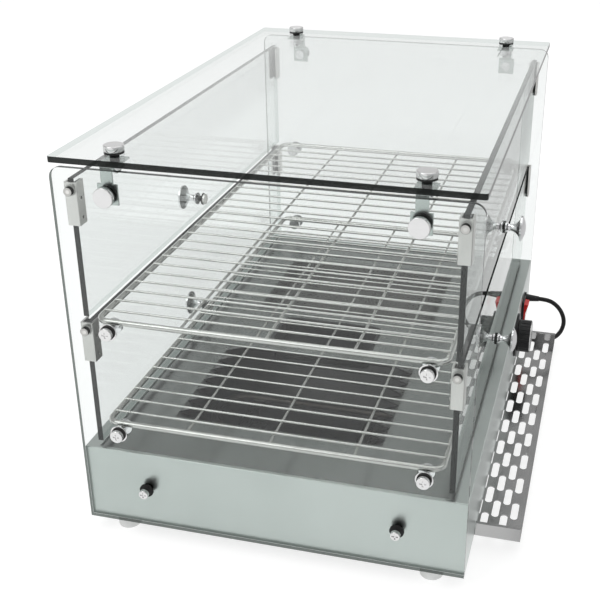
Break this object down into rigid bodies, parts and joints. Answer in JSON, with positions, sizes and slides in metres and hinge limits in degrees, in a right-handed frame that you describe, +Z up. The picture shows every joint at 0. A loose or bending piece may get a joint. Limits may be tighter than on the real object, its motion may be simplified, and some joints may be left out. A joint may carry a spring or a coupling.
{
  "type": "bakery display case",
  "caption": "Countertop heated bakery display case: clear glass box with flap doors and wire shelves on a louvred stainless base with a slotted side tray.",
  "frame": {"origin": "centre of the whole case's box without the free lead, on the surface the feet stand on", "axes": "+Z up, +Y along the case away from the near end panel, +X across the case to the side with the dial, switch and tray"},
  "size_m": [0.4703, 0.7644, 0.4224],
  "materials": {
    "brushed_steel": "brushed stainless sheet",
    "floor_steel": "brushed stainless sheet, louvred",
    "dark_steel": "dark enamel",
    "pale_nylon": "pale nylon",
    "fixings": "zinc plated",
    "heater_sheath": "heat tinted",
    "wire_cover": "woven glass sleeve",
    "clear_glass": "clear tempered, polished edges",
    "chrome": "polished",
    "black_rubber": "matt",
    "shelf_wire": "bright wire",
    "satin_steel": "satin",
    "black_plastic": "fine texture",
    "dial_metal": "spun",
    "red_plastic": "gloss",
    "cord_cover": "smooth",
    "brass": "bright"
  },
  "bodies": {
    "case": {"base_shell": "brushed_steel", "bottom_plate": "brushed_steel", "floor_plate": "floor_steel", "feet": "pale_nylon", "base_screws": "fixings", "heating_elements": "heater_sheath", "element_clamps": "brushed_steel", "terminal_block": "pale_nylon", "control_wiring": "wire_cover", "end_glass_near": "clear_glass", "end_glass_far": "clear_glass", "top_glass": "clear_glass", "corner_brackets": "chrome", "top_caps": "chrome", "end_caps": "chrome", "cap_washers": "black_rubber", "bracket_nuts": "chrome", "shelf_pegs": "chrome", "peg_caps": "chrome", "outside_washers": "black_rubber", "base_bolts": "chrome", "pivot_bushings": "pale_nylon", "side_tray": "brushed_steel", "dial_bezel": "chrome", "thermostat_body": "black_plastic", "switch_bezel": "black_plastic", "cord_gland": "black_plastic", "power_cord": "cord_cover", "cord_coil": "cord_cover", "power_plug": "black_plastic", "plug_blades": "brass"},
    "upper_shelf": {"shelf_upper": "shelf_wire"},
    "lower_shelf": {"shelf_lower": "shelf_wire"},
    "pan": {"water_pan": "dark_steel"},
    "dial": {"dial_knob": "black_plastic", "dial_face": "dial_metal"},
    "rocker": {"switch_rocker": "red_plastic"},
    "door_upper_left": {"door_glass_upper_left": "clear_glass", "door_clips_upper_left": "satin_steel", "door_gaskets_upper_left": "black_rubber", "door_pins_upper_left": "chrome", "door_knob_upper_left": "chrome"},
    "door_lower_left": {"door_glass_lower_left": "clear_glass", "door_clips_lower_left": "satin_steel", "door_gaskets_lower_left": "black_rubber", "door_pins_lower_left": "chrome", "door_knob_lower_left": "chrome"},
    "door_upper_right": {"door_glass_upper_right": "clear_glass", "door_clips_upper_right": "satin_steel", "door_gaskets_upper_right": "black_rubber", "door_pins_upper_right": "chrome", "door_knob_upper_right": "chrome"},
    "door_lower_right": {"door_glass_lower_right": "clear_glass", "door_clips_lower_right": "satin_steel", "door_gaskets_lower_right": "black_rubber", "door_pins_lower_right": "chrome", "door_knob_lower_right": "chrome"}
  },
  "joints": [
    {"name": "upper_left_door_hinge", "type": "hinge", "parent": "case", "child": "door_upper_left", "pos_m": [-0.20135, 0, 0.3815], "axis": [0, 1, 0], "range_deg": [0, 90]},
    {"name": "lower_left_door_hinge", "type": "hinge", "parent": "case", "child": "door_lower_left", "pos_m": [-0.20135, 0, 0.2375], "axis": [0, 1, 0], "range_deg": [0, 90]},
    {"name": "upper_right_door_hinge", "type": "hinge", "parent": "case", "child": "door_upper_right", "pos_m": [0.16465, 0, 0.3815], "axis": [0, -1, 0], "range_deg": [0, 90]},
    {"name": "lower_right_door_hinge", "type": "hinge", "parent": "case", "child": "door_lower_right", "pos_m": [0.16465, 0, 0.2375], "axis": [0, -1, 0], "range_deg": [0, 90]},
    {"name": "upper_shelf_lift", "type": "slide", "parent": "case", "child": "upper_shelf", "axis": [0, 0, 1], "range_m": [0, 0.11]},
    {"name": "lower_shelf_lift", "type": "slide", "parent": "case", "child": "lower_shelf", "axis": [0, 0, 1], "range_m": [0, 0.09]},
    {"name": "pan_lift", "type": "slide", "parent": "case", "child": "pan", "axis": [0, 0, 1], "range_m": [0, 0.025]},
    {"name": "dial_turn", "type": "hinge", "parent": "case", "child": "dial", "pos_m": [0.19165, 0.121, 0.07], "axis": [-1, 0, 0], "range_deg": [0, 270]},
    {"name": "rocker_tilt", "type": "hinge", "parent": "case", "child": "rocker", "pos_m": [0.18165, 0.199, 0.07], "axis": [0, -1, 0], "range_deg": [0, 16]}
  ]
}
